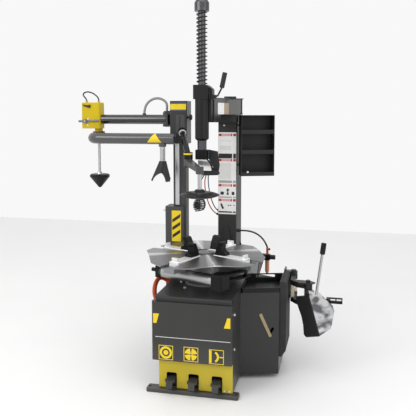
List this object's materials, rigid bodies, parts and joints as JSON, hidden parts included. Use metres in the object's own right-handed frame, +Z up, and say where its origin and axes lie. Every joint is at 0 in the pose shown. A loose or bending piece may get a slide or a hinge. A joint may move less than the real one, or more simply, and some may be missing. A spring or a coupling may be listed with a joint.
{
  "type": "tire changer machine",
  "caption": "Floor-standing tyre changer with a turntable, swing arm and mounting tool, side bead breaker and an assist tower with jointed arms.",
  "frame": {"origin": "centre of the four anchor holes, on the floor under the turntable axis", "axes": "+X to the bead breaker, +Y from the pedals to the column, +Z up along the turntable axis"},
  "size_m": [1.7052, 1.09, 2.154],
  "materials": {
    "grey_paint": "satin powder coat",
    "dark_paint": "satin powder coat",
    "olive_paint": "gloss paint",
    "steel": "brushed",
    "chrome": "polished",
    "aluminium": "satin",
    "black_plastic": "matte",
    "black_rubber": "matte",
    "yellow_plastic": "gloss",
    "orange_hose": "semi-gloss",
    "teal_hose": "semi-gloss",
    "cast": "machined and painted"
  },
  "bodies": {
    "machine": {"base_rails": "dark_paint", "cabinet": "grey_paint", "top_plate": "dark_paint", "front_panel": "grey_paint", "pedal_cover": "olive_paint", "wing": "grey_paint", "bumper_pad": "black_rubber", "tool_tray": "black_plastic", "spindle_bearing": "cast", "gearbox": "cast", "motor": "aluminium", "belt_drive": "black_rubber", "column": "grey_paint", "column_head": "grey_paint", "storage_bin": "black_plastic", "breaker_bracket": "dark_paint", "assist_post": "grey_paint", "tower_cover": "grey_paint", "air_unit": "grey_paint", "air_hose": "black_rubber", "red_line": "orange_hose", "teal_line": "teal_hose", "coil_line": "black_rubber", "hose_bundle": "black_rubber", "wall_hose": "orange_hose", "glands": "black_plastic"},
    "turntable": {"table_hub": "cast", "petals": "steel", "clamp_cylinders": "aluminium"},
    "jaw_a": {"jaw_1": "steel"},
    "jaw_b": {"jaw_2": "steel"},
    "jaw_c": {"jaw_3": "steel"},
    "jaw_d": {"jaw_4": "steel"},
    "arm": {"swing_arm": "dark_paint", "arm_cover": "dark_paint", "shaft_housing": "dark_paint"},
    "tool": {"tool_shaft": "steel", "return_spring": "dark_paint", "mount_head": "steel", "head_insert": "black_plastic"},
    "lever": {"lock_lever": "black_plastic"},
    "breaker": {"breaker_arm": "dark_paint"},
    "blade": {"breaker_blade": "steel", "blade_handle": "chrome"},
    "pedal_left": {"pedal_1": "black_plastic"},
    "pedal_middle": {"pedal_2": "black_plastic"},
    "pedal_right": {"pedal_3": "black_plastic"},
    "lift": {"carriage": "dark_paint", "third_arm": "dark_paint"},
    "boom": {"upper_arm": "dark_paint", "arm_loop_hose": "black_rubber", "control_box": "yellow_plastic", "box_loop_hose": "black_rubber"},
    "switch": {"control_lever": "chrome"},
    "reach": {"forearm": "dark_paint"},
    "cone": {"press_cone": "black_plastic"},
    "claw": {"tri_claw": "cast"},
    "disc_carrier": {"disc_arm": "cast"},
    "disc": {"lens_disc": "black_plastic"},
    "knob": {"regulator_knob": "black_plastic"}
  },
  "joints": [
    {"name": "table_spin", "type": "hinge", "parent": "machine", "child": "turntable", "pos_m": [0, 0, 0.7], "axis": [0, 0, 1], "continuous": true},
    {"name": "jaw_slide_a", "type": "slide", "parent": "turntable", "child": "jaw_a", "axis": [0.3827, 0.9239, 0], "range_m": [-0.028, 0.06]},
    {"name": "jaw_slide_b", "type": "slide", "parent": "turntable", "child": "jaw_b", "axis": [-0.9239, 0.3827, 0], "range_m": [-0.028, 0.06]},
    {"name": "jaw_slide_c", "type": "slide", "parent": "turntable", "child": "jaw_c", "axis": [-0.3827, -0.9239, 0], "range_m": [-0.028, 0.06]},
    {"name": "jaw_slide_d", "type": "slide", "parent": "turntable", "child": "jaw_d", "axis": [0.9239, -0.3827, 0], "range_m": [-0.028, 0.06]},
    {"name": "arm_swing", "type": "hinge", "parent": "machine", "child": "arm", "pos_m": [0.031, 0.614, 1.55], "axis": [0, 0, 1], "range_deg": [0, 75]},
    {"name": "tool_lift", "type": "slide", "parent": "arm", "child": "tool", "axis": [0, 0, 1], "range_m": [-0.27, 0], "stiffness_N_per_m": 900, "springref_m": 0.3, "deforming": ["return_spring"]},
    {"name": "lock_lever_turn", "type": "hinge", "parent": "arm", "child": "lever", "pos_m": [0.031, 0.108, 1.604], "axis": [0, 1, 0], "range_deg": [0, 40]},
    {"name": "breaker_swing", "type": "hinge", "parent": "machine", "child": "breaker", "pos_m": [0.486, 0.318, 0.47], "axis": [0, 0, 1], "range_deg": [0, 70]},
    {"name": "blade_turn", "type": "hinge", "parent": "breaker", "child": "blade", "pos_m": [0.586, 0.112, 0.47], "axis": [0, 0, 1], "range_deg": [0, 25]},
    {"name": "pedal_press_left", "type": "hinge", "parent": "machine", "child": "pedal_left", "pos_m": [-0.115, -0.06, 0.1], "axis": [1, 0, 0], "range_deg": [0, 7], "stiffness_Nm_per_rad": 20, "springref_deg": -11.46},
    {"name": "pedal_press_middle", "type": "hinge", "parent": "machine", "child": "pedal_middle", "pos_m": [0.007, -0.06, 0.1], "axis": [1, 0, 0], "range_deg": [0, 7], "stiffness_Nm_per_rad": 20, "springref_deg": -11.46},
    {"name": "pedal_press_right", "type": "hinge", "parent": "machine", "child": "pedal_right", "pos_m": [0.136, -0.06, 0.1], "axis": [1, 0, 0], "range_deg": [0, 7], "stiffness_Nm_per_rad": 20, "springref_deg": -11.46},
    {"name": "assist_lift", "type": "slide", "parent": "machine", "child": "lift", "axis": [0, 0, 1], "range_m": [-0.22, 0]},
    {"name": "shoulder_turn", "type": "hinge", "parent": "lift", "child": "boom", "pos_m": [-0.34, 0.4, 1.47], "axis": [0, 0, 1], "range_deg": [-60, 0]},
    {"name": "switch_turn", "type": "hinge", "parent": "boom", "child": "switch", "pos_m": [-0.878, 0.351, 1.458], "axis": [0, 1, 0], "range_deg": [-12, 12]},
    {"name": "elbow_turn", "type": "hinge", "parent": "boom", "child": "reach", "pos_m": [-0.805, 0.4, 1.352], "axis": [0, 0, 1], "range_deg": [-150, 0]},
    {"name": "cone_spin", "type": "hinge", "parent": "reach", "child": "cone", "pos_m": [-0.805, 0.4, 1.1], "axis": [0, 0, 1], "continuous": true},
    {"name": "claw_spin", "type": "hinge", "parent": "reach", "child": "claw", "pos_m": [-0.325, 0.25, 1.2], "axis": [0, 0, 1], "continuous": true},
    {"name": "disc_carrier_turn", "type": "hinge", "parent": "lift", "child": "disc_carrier", "pos_m": [-0.122, 0.1, 1.222], "axis": [0, 0, 1], "range_deg": [-90, 0]},
    {"name": "disc_spin", "type": "hinge", "parent": "disc_carrier", "child": "disc", "pos_m": [-0.005, -0.1, 1.06], "axis": [0, 0, 1], "continuous": true},
    {"name": "regulator_turn", "type": "hinge", "parent": "machine", "child": "knob", "pos_m": [0.33, 0.54, 0.574], "axis": [1, 0, 0], "range_deg": [0, 270]}
  ],
  "couplings": [
    {"joint": "jaw_slide_b", "follows": "jaw_slide_a", "ratio": 1},
    {"joint": "jaw_slide_c", "follows": "jaw_slide_a", "ratio": 1},
    {"joint": "jaw_slide_d", "follows": "jaw_slide_a", "ratio": 1}
  ]
}
